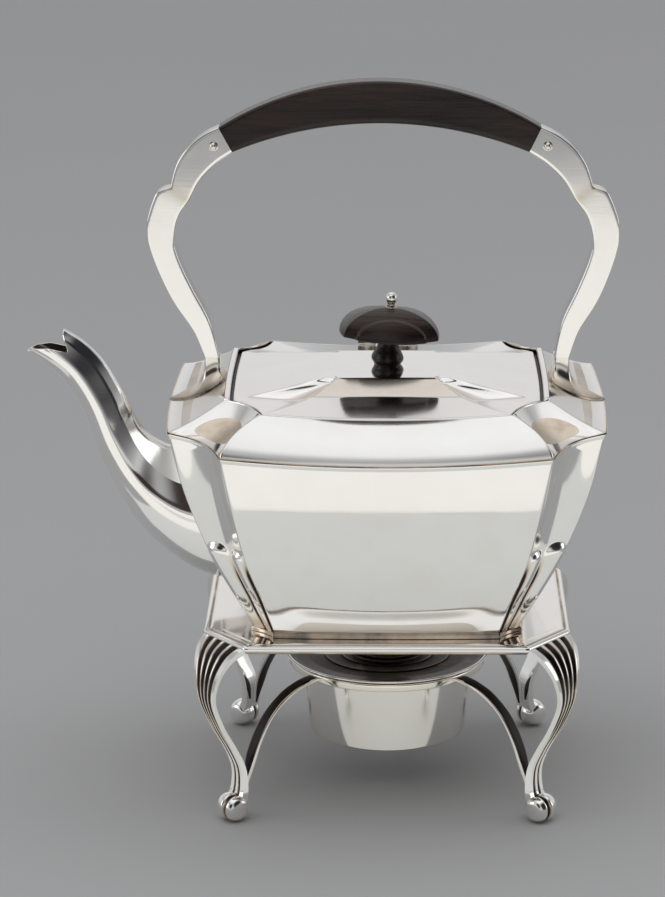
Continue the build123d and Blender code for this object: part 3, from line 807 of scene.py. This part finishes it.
# ---- spout -------------------------------------------------------------------------------
# Upper and lower edge in the XZ plane and the width there, from inside the body to the end.
spout_stations = (
    (-76, 145, -50, 84, 46), (-88.5, 144.8, -78, 90, 40), (-96.5, 148, -98.5, 104.5, 33),
    (-102.5, 153.5, -110.6, 120.5, 25), (-107, 161.5, -119.8, 139, 19), (-112, 171.5, -126.6, 159, 16),
    (-118.5, 182.2, -135, 173.8, 15), (-126.5, 190.4, -143.5, 181.5, 13.4),
    (-134.2, 195.4, -150.3, 185.9, 10.6),
)
spout_low_half = (
    # half of the section as height and width, -1 to 1 and 0 to 1: at the root, then near the mouth
    ((1.0, 0.0), (1.0, 0.0)), ((0.97, 0.16), (0.98, 0.13)), ((0.84, 0.36), (0.92, 0.27)),
    ((0.56, 0.76), (0.6, 0.64)), ((0.2, 0.98), (-0.06, 0.98)), ((0.0, 1.0), (-0.24, 1.0)),
    ((-0.3, 0.97), (-0.5, 0.92)), ((-0.62, 0.82), (-0.74, 0.72)), ((-0.87, 0.5), (-0.92, 0.4)),
    ((-1.0, 0.0), (-1.0, 0.0)),
)
# where the spout ends, counted in stations, at heights in its section
mouth_end = ((-1, 8.0), (-0.6, 7.92), (-0.2, 7.6), (0.05, 7.12), (0.25, 6.92), (0.48, 7.35), (0.76, 7.8),
             (1, 8.0))


def spout_surface(travel, height, width, shrink=0.0):
    """Points of the spout's surface. travel counts stations, height and width place them in the section."""
    fine = through(spout_stations, 321)
    place = np.linspace(0, len(spout_stations) - 1, len(fine))
    upper_x, upper_z, lower_x, lower_z, span = (np.interp(travel, place, fine[:, k]) for k in range(5))
    tall = np.hypot(upper_x - lower_x, upper_z - lower_z)
    share = 0.5 + 0.5 * height * (1 - 2 * shrink / tall)
    x = lower_x + (upper_x - lower_x) * share
    z = lower_z + (upper_z - lower_z) * share
    return np.column_stack((x, width * (span / 2 - shrink), z))


def make_spout():
    """The hollow S spout: narrow ridge above, a flat along each side, a round belly, a leaf over the lip."""
    section = np.array(spout_low_half, float)
    per_span = 7
    shares = np.linspace(0, len(section) - 1, (len(section) - 1) * per_span + 1)
    index = np.minimum(shares.astype(int), len(section) - 2)
    part = (shares - index)[:, None, None]
    linear = section[index] * (1 - part) + section[index + 1] * part
    curved = np.stack([through(section[:, side], len(shares)) for side in (0, 1)], axis=1)
    flats = np.isin(index, (2, 3))[:, None, None]
    half = np.where(flats, linear, curved)
    ends = np.array(mouth_end)
    last = len(spout_stations) - 1

    def ring(share, shrink=0.0):
        blend = ease(0.1, 0.75, share)
        height, width = (half[:, 0, k] * (1 - blend) + half[:, 1, k] * blend for k in (0, 1))
        limit = last + (np.interp(height, ends[:, 0], ends[:, 1]) - last) * ease(0.55, 1.0, share)
        side = spout_surface(share * limit, height, width.clip(0), shrink)
        return np.concatenate((side, side[-2:0:-1] * (1, -1, 1)))

    root = 0.018                # where it starts, just inside the body's wall
    outer_rows, inner_rows = 110, 40
    outside = [ring(share) for share in np.linspace(root, 1.0, outer_rows)]
    inside = [ring(share, 0.9) for share in np.linspace(1.0, root, inner_rows)]
    edge = [lerp(outside[-1], inside[0], 0.5) + (-0.12, 0, 0.12)]
    points, faces = skin(outside + edge + inside, closed_path=True)
    stain = np.repeat([0.0] * (outer_rows + 1) + [0.5] * inner_rows, len(outside[0]))
    piece("spout", points, faces, stain, crisp=24)


make_spout()


# ---- handle ------------------------------------------------------------------------------
def lean(height):
    """How far the handle, which leans a little towards the spout as it rises, has moved along X."""
    low, high, lean_high = 180, 281, -2.9
    return lean_high * (np.maximum(height, low) - low) / (high - low)


def bar(first, second, half_depth, edge=0.8, steps=4):
    """Rings of a flat bar between two curves in the XZ plane, with rounded edges and true flats."""
    rings = []
    for a, b in zip(first, second):
        span = np.linalg.norm(b - a)
        ring = []
        for corner_x, corner_y, begin in ((1, 1, 0), (0, 1, 90), (0, -1, 180), (1, -1, 270)):
            for angle in np.radians(np.linspace(begin, begin + 90, steps)):
                along = (span - edge if corner_x else edge) + math.cos(angle) * edge
                side = corner_y * (half_depth - edge) + math.sin(angle) * edge
                spot_x, spot_z = a + (b - a) * along / span
                ring.append((spot_x, side, spot_z))
        rings.append(ring)
    rings = np.array(rings)
    rings[:, :, 0] += lean(rings[:, :, 2])
    columns = []
    for corner in range(4):
        columns.append(rings[:, corner * steps:(corner + 1) * steps])
        last = rings[:, (corner + 1) * steps - 1]
        following = rings[:, (corner + 1) * steps % (4 * steps)]
        for share in (0.07, 0.35, 0.65, 0.93):
            columns.append(lerp(last, following, share)[:, None])
    return np.concatenate(columns, axis=1)


def end_surface(x):
    """Height of the coved end of the shoulder at a distance from the middle."""
    low, high = 165.1, 176.0
    outer_x, inner_x = 90.5, 66.6
    return low + (high - low) * np.clip((outer_x - x) / (outer_x - inner_x), 0, 1) ** cove_power


# X and Z of the right arm's two edges: from the grip down to the cusp, and from there to the foot
outer_upper = ((65.7, 281.1), (71.5, 278.4), (77, 274.4), (81.6, 269.4), (84.6, 263.8), (86.9, 256))
outer_lower = ((86.9, 256), (90.6, 254.9), (93.6, 252), (97.4, 239.5), (95.6, 227), (88.8, 209.6),
               (80.3, 195.8), (75.8, 184))
inner_upper = ((60.4, 270.6), (67.8, 265.6), (74.6, 258.7), (79.4, 250.2))
inner_lower = ((79.4, 250.2), (84.0, 243.5), (86.2, 234.5), (84.6, 225.7), (79.4, 213.1), (73, 199.5),
               (69.3, 184))
rows_above, rows_below = 22, 58
# X and Y of the rear half of the right foot's outline, and the X of the middle it spreads from
foot_half = ((90.3, 0.8), (84.0, 6.6), (78.0, 10.3), (72.5, 10.8), (68.2, 8.0), (67.6, 0))
foot_middle = 72.5


def arm_edge(upper, lower, side):
    """One edge of an arm, with its rows close together above the cusp as well as below."""
    above = evenly(through(upper, 60), rows_above)
    below = evenly(through(lower, 160), rows_below)
    return np.concatenate((above, below[1:])) * (side, 1)


def at_angles(outline, middle_y, turn):
    """X and Y of an outline in plan in the directions turn from the middle of the foot."""
    angles = np.arctan2(outline[:, 1] - middle_y, outline[:, 0] - foot_middle)
    order = np.argsort(angles)
    return [np.interp(turn, angles[order], outline[order, k], period=2 * math.pi) for k in (0, 1)]


def make_arm(side, word):
    """One flat serpentine arm with the cusp outside, and its pad on the end of the shoulder."""
    rings = bar(arm_edge(inner_upper, inner_lower, side), arm_edge(outer_upper, outer_lower, side), 4.5)
    stain = np.repeat(0.35 * hump(np.arange(len(rings)), rows_above - 1, 2.5), rings.shape[1])
    piece(f"handle_arm_{word}", *skin(rings), capped(stain))

    top = rings[-1] * (side, 1, 1)
    half = evenly(through(foot_half, 60), 60)
    turn = np.linspace(-math.pi, math.pi, 96, endpoint=False)
    foot_x, foot_y = at_angles(np.concatenate((half, half[-2::-1] * (1, -1))), 0, turn)
    arm_x, arm_y = at_angles(top, top[:, 1].mean(), turn)
    arm_low, pad_thick = 184.2, 0.9
    rings, stains = [], []
    for v in np.linspace(0, 1, 30):
        spread = v**2.4
        z = lerp(np.full(len(turn), arm_low), end_surface(foot_x) + pad_thick, v**0.72)
        rings.append(np.column_stack((lerp(arm_x, foot_x, spread) * side, lerp(arm_y, foot_y, spread), z)))
        stains.append(0.2 + 0.6 * v**1.5)
    for grow, drop in ((1.03, 0.35), (1.05, 0.9), (1.0, 1.5)):
        x = 74 + (foot_x - 74) * grow
        rings.append(np.column_stack((x * side, foot_y * grow, end_surface(x) + pad_thick - drop)))
        stains.append(0.9)
    piece(f"handle_foot_{word}", *skin(rings), capped(np.repeat(stains, len(turn))))


for side, word in ((-1, "left"), (1, "right")):
    make_arm(side, word)


def arc(end_x, end_z, middle_z, count):
    """Circular arc from one seam to the other over the middle."""
    rise = middle_z - end_z
    radius = (end_x**2 + rise**2) / (2 * rise)
    half = math.asin(end_x / radius)
    angles = np.linspace(-half, half, count)
    return np.column_stack((radius * np.sin(angles), middle_z - radius + radius * np.cos(angles)))


def make_grip():
    """The ebony grip between the seams, with rounded long edges."""
    rings = bar(arc(60.6, 270.7, 282.6, 90), arc(65.9, 281.0, 300.0, 90), 5.9, edge=1.7, steps=6)
    piece("handle_grip", *skin(rings))


def make_rivets():
    """Ball heads of the two rivets, front and rear, each on a small collar."""
    profile = ((0, 2.05), (0.7, 1.95), (1.25, 1.6), (1.6, 1.1), (1.72, 0.6), (1.6, 0.15), (2.0, 0.0),
               (2.0, -0.6), (0, -0.6))
    rivet_z, arm_face = 273.2, 4.5
    heads = []
    for x in (-68.3, 68.3):
        for facing in (-1, 1):
            points, faces = lathe(profile, 40)
            spun = np.column_stack((points[:, 0], facing * points[:, 2], points[:, 1]))
            heads.append((spun + (x + lean(rivet_z), facing * arm_face, rivet_z), faces))
    piece("grip_rivets", *joined(heads), 0.3)


make_grip()
make_rivets()


# ---- knob --------------------------------------------------------------------------------
def askew(points, twist=0.0):
    """Points of the knob, which leans a little to the right. twist turns them about the knob's axis first."""
    base = Vector((0, 0, crown_high))
    turn = Matrix.Rotation(math.radians(3.8), 3, "Y") @ Matrix.Rotation(math.radians(twist), 3, "Z")
    return (np.asarray(points) - base) @ np.array(turn).T + base


def make_knob_cap():
    """The vaulted ebony cap, with a raised arch on its front and rear."""
    corner_x, corner_y, middle_x, middle_y = 19.6, 9.6, 20.8, 13.4
    low, high, lip = 191.9, 204.9, 0.5
    count, rows = 72, 70
    across = np.linspace(-1, 1, count, endpoint=False)
    bow_y = corner_y + (middle_y - corner_y) * (1 - across**2)
    bow_x = corner_x + (middle_x - corner_x) * (1 - across**2)
    front, right = np.column_stack((across * corner_x, -bow_y)), np.column_stack((bow_x, across * corner_y))
    plan = np.concatenate((front, right, -front, -right))
    broad = np.repeat([1, 0, 1, 0], count)
    curl = 1.0 * (plan[:, 0] / corner_x) ** 2       # the lower edge rises towards the corners
    rings = []
    for share, drop in ((0.3, 0.2), (0.7, 0.35), (0.94, lip)):
        rings.append(np.column_stack((plan * share, low + drop + curl * share)))
    for row in range(rows + 1):
        turn = math.pi / 2 * (row / rows) ** 0.9
        rise, reach = math.sin(turn), math.cos(turn) ** 0.97
        ring = plan * max(reach, 0.02)
        arch = 1 - (ring[:, 0] / 15.0) ** 2 - (rise / 0.74) ** 2
        proud = 1.4 * ease(0.0, 0.12, arch) * broad
        ring[:, 1] += np.sign(ring[:, 1]) * proud
        rings.append(np.column_stack((ring, low + lip + (high - low - lip) * rise + curl * (1 - rise))))
    points, faces = skin(rings)
    piece("knob_cap", askew(points, 5.0), faces, crisp=24)


def knob_turning(node, profile, steps, tarnish_and_shade=None):
    """A turned piece of the knob. Its profile needs no ends: they are closed on the axis."""
    points, faces = lathe([(0, profile[0][1]), *profile, (0, profile[-1][1])], steps)
    piece(node, askew(points), faces, tarnish_and_shade)


def make_knob():
    """The cap on a dark turned neck, with a silver rod through both, a washer and a ball."""
    make_knob_cap()
    flank = through(((5.5, 180.4), (5.9, 181.3), (6.6, 182.4), (6.7, 183.6), (6.0, 185.3), (5.0, 187.2),
                     (4.3, 189.2), (4.1, 191.3)), 40)
    knob_turning("knob_neck", [*flank, (4.1, 192.4)], 72)

    rod_low, rod_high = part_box("knob_rod")
    rod_radius = (rod_high.x - rod_low.x) / 2 / MM
    knob_turning("knob_rod", [(rod_radius, rod_low.z / MM), (rod_radius, rod_high.z / MM)], 32, 0.4)

    washer = [(0, 204.2), (2.6, 204.2), (2.7, 204.7), (2.3, 205.1), (0, 205.1)]
    knob_turning("knob_washer", rounded(washer, 0.25)[1:-1], 48, 0.8)
    ball_z, ball_r = 208.6, 2.5
    cup = [(1.9, 204.9), (1.7, 205.5), (1.35, 205.9), (1.6, 206.4)]
    turns = np.radians(np.linspace(-48, 89, 22))
    ball = [(ball_r * math.cos(turn), ball_z + ball_r * math.sin(turn)) for turn in turns]
    steps = 48
    points, faces = lathe([(0, cup[0][1]), *cup, *ball, (0, ball_z + ball_r)], steps)
    stain = np.repeat([1.0] * (len(cup) + 1) + [0.05] * (len(ball) + 1), steps)
    piece("knob_finial", askew(points), faces, capped(stain))


make_knob()


# ---- tray, legs and struts ---------------------------------------------------------------
tray_top, tray_low = 77.8, 74.4
tray_half_x, tray_half_y, tray_cut_x, tray_cut_y = 76.0, 65.0, 18.0, 23.5


def cut_rectangle(inset, count):
    """The tray's cut-corner outline moved inwards, as count points all round from +X."""
    normal = np.array((tray_cut_y, tray_cut_x)) / math.hypot(tray_cut_x, tray_cut_y)
    reach = normal @ (tray_half_x, tray_half_y - tray_cut_y) - inset
    a, b = tray_half_x - inset, tray_half_y - inset
    right = (a, (reach - normal[0] * a) / normal[1])
    rear = ((reach - normal[1] * b) / normal[0], b)
    loop = [(a, 0), right, rear]
    for flip_x, flip_y, pair in ((-1, 1, (rear, right)), (-1, -1, (right, rear)), (1, -1, (rear, right))):
        loop.extend((flip_x * x, flip_y * y) for x, y in pair)
    return evenly(np.array([*loop, (a, 0)]), count + 1)[:-1]


def make_tray():
    """A flat plate with a hole, a shallow groove inside its edge and a rounded bead round it."""
    count = 384
    angles = np.arctan2(*cut_rectangle(0, count).T[::-1])
    hole = np.column_stack((np.cos(angles), np.sin(angles)))
    top, low = tray_top, tray_low
    flat_from, flat_to = 46.6, 4.2      # the top is flat from this radius to this inset from the edge
    # plan, height and stain: up through the hole, outwards over the top, and round the edge
    stack = [(hole * radius, height, 0.6) for radius, height in (
        (48.0, low + 0.2), (46.3, low + 0.25), (46.0, low + 0.6), (46.0, top - 0.5), (46.2, top - 0.12),
        (flat_from, top))]
    rim = cut_rectangle(flat_to, count)
    stack += [(lerp(hole * flat_from, rim, share), top, 0.05) for share in (0.25, 0.5, 0.75)]
    edge = (
        (flat_to, 0, 0.05), (3.3, 0, 0.2), (2.9, -0.35, 0.8), (2.5, -0.45, 0.9), (2.2, -0.3, 0.7),
        (1.7, -0.02, 0.1), (1.1, -0.03, 0), (0.5, -0.35, 0), (0.12, -0.9, 0), (0, -1.5, 0), (0.15, -2.0, 0),
        (0.5, -2.35, 0.6), (0.75, -2.5, 0.7), (0.8, -2.9, 0.8), (1.2, -3.3, 0.8), (2.2, -3.4, 0.7),
    )
    stack += [(cut_rectangle(inset, count), top + drop, stain) for inset, drop, stain in edge]
    rings = [np.column_stack((plan, np.full(count, height))) for plan, height, _ in stack]
    stains = [stain for *_, stain in stack]
    piece("tray_plate", *skin(rings, closed_path=True), np.repeat(stains, count))


make_tray()

leg_stations = (
    # height, x, y, width, thickness
    (76.6, 61.6, 49.0, 28.6, 3.0), (75.2, 66.6, 53.0, 28.0, 2.8), (71, 70.9, 56.5, 23.0, 2.5),
    (63, 73.6, 59.8, 16.0, 2.2), (53, 73.8, 60.7, 11.2, 2.0), (41, 69.7, 58.5, 8.8, 2.0),
    (31, 64.9, 55.6, 7.8, 2.2), (22, 61.4, 54.0, 7.8, 2.6), (13, 61.0, 55.0, 9.0, 3.2),
    (7, 62.6, 56.8, 10.4, 4.0),
)
across_leg = np.array((-tray_cut_x, tray_cut_y, 0)) / math.hypot(tray_cut_x, tray_cut_y)
outward = np.array((tray_cut_y, tray_cut_x, 0)) / math.hypot(tray_cut_x, tray_cut_y)


def four_times(stem, points, faces, stain):
    """A piece at each corner of the stand. The points are the rear right one's."""
    for flip_y, depth_word in ((-1, "front"), (1, "rear")):
        for flip_x, side_word in ((-1, "left"), (1, "right")):
            piece(f"{stem}_{depth_word}_{side_word}", points * (flip_x, flip_y, 1), faces, stain)


def headings(path):
    """The direction of a path at each of its points."""
    ahead = np.gradient(path, axis=0)
    return ahead / np.linalg.norm(ahead, axis=1)[:, None]


def swept(path, section):
    """Rings of a section carried along a path. section gives (along across_leg, outwards) per station."""
    rings = []
    for index, (point, forward) in enumerate(zip(path, headings(path))):
        normal = np.cross(across_leg, forward)
        normal /= np.linalg.norm(normal)
        if normal @ outward < 0 and abs(normal @ outward) > 0.2:
            normal = -normal
        flat = section(index / (len(path) - 1))
        rings.append(point + flat[:, :1] * across_leg + flat[:, 1:] * normal)
    return np.array(rings)


def make_scroll():
    """The scroll a leg ends in: two rolls side by side, flat where they stand, as points, faces and stain."""
    centre = np.array((63.9, 58.2, 5.9))
    half_width, radius, split_at = 6.0, 5.9, 0.25
    side = np.linspace(-1, 1, 33)
    split = 0.30 * hump(side, split_at, 0.13)
    radii = radius * (1 - (side * 0.98) ** 2).clip(0) ** 0.24 * (1 - split)
    turn = np.linspace(0, 2 * math.pi, 48, endpoint=False)
    rolls = []
    for place, reach in zip(side * half_width, radii):
        ring = centre + place * across_leg + np.outer(np.cos(turn) * reach, outward)
        rolls.append(ring + np.outer(np.sin(turn) * reach, (0, 0, 1)))
    rolls = np.array(rolls)
    rolls[:, :, 2] = rolls[:, :, 2].clip(0.0)
    return *skin(rolls), capped(np.repeat(hump(side, split_at, 0.15) * 1.7, len(turn)))


def make_legs():
    """Four cabriole legs: reeds fan from the corner, run together at the ankle and end in a scroll."""
    fine = through(leg_stations, 90)
    path = np.column_stack((fine[:, 1], fine[:, 2], fine[:, 0]))
    sizes = fine[:, 3:]
    stains = []

    def section(share):
        width, thick = (np.interp(share, np.linspace(0, 1, len(sizes)), sizes[:, k]) for k in (0, 1))
        p = np.linspace(-1, 1, 61)
        late = ease(0.45, 0.75, share)
        grooves = ((-0.2 - 0.14 * late, 1.0), (0.2 + 0.14 * late, 1.0), (-0.6, 1 - late), (0.6, 1 - late))
        depth = 0.36 * thick
        outer = thick * (0.5 - 0.10 * p**2)
        # dark marks the grooves between the reeds, stained towards black: partly tarnished, partly painted
        # shade
        dark = 0 * p
        for place, strength in grooves:
            near = np.clip(1 - np.abs(p - place) / 0.2, 0, 1)
            outer = outer - depth * strength * near**1.5
            dark = np.maximum(dark, strength * near**0.6)
        front = np.column_stack((p * width / 2, outer))
        q = np.linspace(1, -1, 17)
        back = np.column_stack((q * width / 2 * 0.99, -thick * (0.5 - 0.05 * q**2)))
        stains.append(np.concatenate((1.7 * dark, 0 * q)))
        return np.concatenate((front, back))

    leg = skin(swept(path, section))
    *scroll, scroll_stain = make_scroll()
    points, faces = joined((leg, scroll))
    four_times("leg", points, faces, np.concatenate((capped(stains, 0.5, 0.5), scroll_stain)))


make_legs()


def make_struts():
    """Four flat curved ribbons from the ankles up to the burner's ring."""
    towards = np.array((60.0, 53.0)) / math.hypot(60, 53)
    level_way = np.array((-towards[1], towards[0], 0))
    # distance from the kettle's axis, and height
    curve = through(((78.6, 12.5), (76.0, 21.5), (72.2, 30.8), (66.0, 40.0), (58.0, 46.4), (48.6, 50.2),
                     (38.2, 51.6)), 60)
    path = np.column_stack((curve[:, 0] * towards[0], curve[:, 0] * towards[1], curve[:, 1]))
    # the ribbon's section as shares of its half width and half thickness, with the stain
    upper = ((1, 0.45, 0), (0.9, 0.85, 0.4), (0.6, 1, 1.8), (0, 1.05, 1.8), (-0.6, 1, 1.8), (-0.9, 0.85, 0.4),
             (-1, 0.45, 0))
    lower = ((-1, -0.45, 0), (-0.9, -0.85, 0.4), (-0.6, -1, 1.4), (0, -1, 1.4), (0.6, -1, 1.4),
             (0.9, -0.85, 0.4), (1, -0.45, 0))
    ribbon = upper + lower
    thick = 0.95
    rings = []
    for index, (point, forward) in enumerate(zip(path, headings(path))):
        normal = np.cross(level_way, forward)
        half = 2.7 * ease(-0.1, 0.25, index / len(path)) + 0.25
        rings.append([point + level_way * (a * half) + normal * (b * thick) for a, b, _ in ribbon])
    points, faces = skin(rings)
    four_times("strut", points, faces, capped([stain for *_, stain in ribbon] * len(rings), 0.8, 0.5))


make_struts()


# ---- burner ------------------------------------------------------------------------------
def turned(node, profile, stain, steps=120, closed=False, wave=0.0, waves=0):
    """A turned piece of the burner or its ring. stain is one value or one for each profile point."""
    points, faces = lathe(profile, steps, wave, waves, closed)
    values = np.full(len(points), 0.3)
    on_rings = len(profile) * steps
    values[:on_rings] = np.repeat(np.broadcast_to(stain, len(profile)), steps)
    piece(node, points, faces, values)


def make_burner():
    """Ring of the stand, the burner's flanged cup and the snuffer cap with its gadrooned edge."""
    ring = [(39.2, 50.0), (41.4, 50.0), (41.4, 53.3), (37.1, 53.3), (37.1, 50.0), (39.2, 50.0)]
    turned("burner_ring", rounded(ring, 0.7)[:-1], 0.3, closed=True)
    cup = rounded([(0, 20.3), (31.6, 20.3), (33.0, 21.2), (35.9, 49.0), (36.3, 49.3), (36.5, 50.2),
                   (36.2, 50.6), (36.4, 53.3), (35.6, 53.3), (35.0, 50.0), (32.0, 21.6), (0, 21.4)], 0.5)
    turned("burner_cup", cup, 0.12)
    flange = rounded([(9.6, 55.9), (14.6, 55.9), (15.6, 55.2), (15.9, 54.3), (19.0, 54.0), (19.4, 54.4),
                      (20.2, 54.4), (20.6, 54.0), (26.0, 53.8), (26.4, 54.2), (27.1, 54.2), (27.5, 53.8),
                      (34.0, 53.9), (39.5, 54.5), (42.2, 55.3), (43.2, 55.4), (43.4, 54.9), (43.0, 54.4),
                      (38.0, 53.4), (9.6, 53.35)], 0.3)
    rim_from = 42.0             # radius from which the flange is rubbed bright
    turned("burner_flange", flange, [0.0 if r > rim_from else 1.25 for r, _ in flange], closed=True)
    cap = rounded([(0, 57.6, 0), (6.2, 57.6, 0), (7.0, 56.7, 0), (10.0, 56.7, 1), (10.7, 57.4, 1),
                   (10.7, 58.4, 1), (9.6, 59.2, 1), (8.3, 59.5, 0), (8.1, 60.4, 0), (7.9, 61.4, 0),
                   (7.0, 62.0, 0), (6.9, 64.6, 0), (5.4, 65.4, 0), (5.0, 66.3, 0), (4.0, 66.9, 0),
                   (0, 67.0, 0)], 0.4)
    turned("snuffer_cap", cap, 0.3, 240, wave=-0.07, waves=24)


make_burner()
